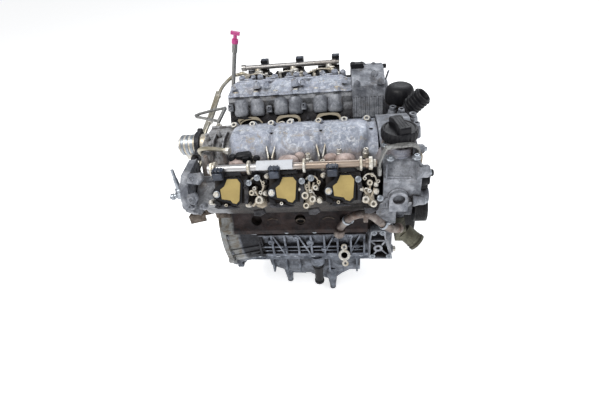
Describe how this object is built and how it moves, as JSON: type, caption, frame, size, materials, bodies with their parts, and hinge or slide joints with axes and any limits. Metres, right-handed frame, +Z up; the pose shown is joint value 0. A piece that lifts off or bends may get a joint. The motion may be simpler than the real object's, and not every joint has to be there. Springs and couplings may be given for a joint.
{
  "type": "car engine",
  "caption": "V-form piston engine with two tilted cylinder banks, aluminium covers, high-pressure fuel rails, masked intake ports, gearbox flange and a deep ribbed sump on short feet.",
  "frame": {"origin": "on the crankshaft axis at the gearbox mating face of the block", "axes": "+X along the crankshaft towards the timing and pulley end, +Y across towards the far cylinder bank, +Z up"},
  "size_m": [0.5756, 0.636, 0.6924],
  "materials": {
    "block": "cast, dirty",
    "sump": "cast",
    "head": "cast",
    "cover": "cast, oil stained",
    "alloy": "cast",
    "darkalloy": "cast",
    "steel": "machined",
    "zinc": "plated",
    "pipe": "bright, yellowed",
    "rail": "bright",
    "tube": "dull",
    "copper": "stained",
    "rust": "rusty",
    "blackmetal": "satin",
    "black": "moulded",
    "gasket": "pressed",
    "rims": "dusty",
    "mask": "film",
    "pink": "moulded",
    "plastic_tan": "moulded",
    "paper": "pleated",
    "neck": "stained"
  },
  "bodies": {
    "engine": {"cylinder_block": "block", "main_bearing_caps": "steel", "rear_seal_carrier": "alloy", "oil_sump": "sump", "sump_sensor": "black", "drain_plug": "zinc", "head_far": "head", "head_near": "head", "head_gasket_far": "gasket", "head_gasket_near": "gasket", "cam_cover_far": "cover", "cam_cover_near": "cover", "front_housing_far": "alloy", "front_housing_near": "alloy", "timing_cover": "alloy", "oil_filter_housing": "darkalloy", "oil_filter_element": "paper", "coolant_connector": "black", "water_neck": "neck", "water_pump_housing": "alloy", "pistons": "alloy", "piston_pins": "steel", "connecting_rods": "steel", "timing_chains": "steel", "chain_guides": "plastic_tan", "valves": "steel", "valve_springs": "steel", "glow_plugs": "zinc", "oil_pump": "alloy", "fuel_rail_far": "rail", "fuel_rail_near": "rail", "injectors": "zinc", "injector_connectors": "black", "intake_gaskets": "black", "port_masks": "mask", "valley_port_rims": "rims", "high_pressure_pump": "zinc", "fuel_pipe_long": "pipe", "fuel_pipe_short": "pipe", "banjo_fitting": "pipe", "dipstick_tube": "tube", "lifting_eye": "zinc", "rear_bracket": "rust", "strap_bracket": "blackmetal", "coolant_pipe": "copper", "accessory_bracket": "alloy", "oil_outlet_flange": "alloy", "sensors": "black", "cover_bolts": "zinc", "housing_bolts": "zinc"},
    "crank": {"crankshaft": "steel", "crank_pulley": "blackmetal"},
    "cam_far_inner": {"camshaft_far_inner": "steel"},
    "cam_far_outer": {"camshaft_far_outer": "steel"},
    "cam_near_inner": {"camshaft_near_inner": "steel"},
    "cam_near_outer": {"camshaft_near_outer": "steel"},
    "pump_wheel": {"water_pump_pulley": "blackmetal"},
    "filler_cap": {"oil_filler_cap": "black"},
    "filter_cap": {"oil_filter_cap": "black"},
    "dipstick": {"dipstick": "pink"}
  },
  "joints": [
    {"name": "crank_spin", "type": "hinge", "parent": "engine", "child": "crank", "pos_m": [0, 0, 0], "axis": [1, 0, 0], "continuous": true, "deforming": ["connecting_rods"]},
    {"name": "cam_far_inner_spin", "type": "hinge", "parent": "engine", "child": "cam_far_inner", "pos_m": [0, 0.11743, 0.2994], "axis": [1, 0, 0], "continuous": true},
    {"name": "cam_far_outer_spin", "type": "hinge", "parent": "engine", "child": "cam_far_outer", "pos_m": [0, 0.17459, 0.2664], "axis": [1, 0, 0], "continuous": true},
    {"name": "cam_near_inner_spin", "type": "hinge", "parent": "engine", "child": "cam_near_inner", "pos_m": [0, -0.11743, 0.2994], "axis": [1, 0, 0], "continuous": true},
    {"name": "cam_near_outer_spin", "type": "hinge", "parent": "engine", "child": "cam_near_outer", "pos_m": [0, -0.17459, 0.2664], "axis": [1, 0, 0], "continuous": true},
    {"name": "pump_spin", "type": "hinge", "parent": "engine", "child": "pump_wheel", "pos_m": [0, -0.114, 0.098], "axis": [1, 0, 0], "continuous": true},
    {"name": "filler_cap_turn", "type": "hinge", "parent": "engine", "child": "filler_cap", "pos_m": [0.417, -0.23, 0.37], "axis": [0, 0, 1], "range_deg": [0, 90]},
    {"name": "filter_cap_turn", "type": "hinge", "parent": "engine", "child": "filter_cap", "pos_m": [0.45, 0.018, 0.33], "axis": [0, 0, 1], "range_deg": [0, 360]},
    {"name": "dipstick_pull", "type": "slide", "parent": "engine", "child": "dipstick", "axis": [0.2425, 0, 0.9701], "range_m": [0, 0.13]}
  ],
  "couplings": [
    {"joint": "cam_far_inner_spin", "follows": "crank_spin", "ratio": 0.5},
    {"joint": "cam_far_outer_spin", "follows": "crank_spin", "ratio": 0.5},
    {"joint": "cam_near_inner_spin", "follows": "crank_spin", "ratio": 0.5},
    {"joint": "cam_near_outer_spin", "follows": "crank_spin", "ratio": 0.5}
  ]
}
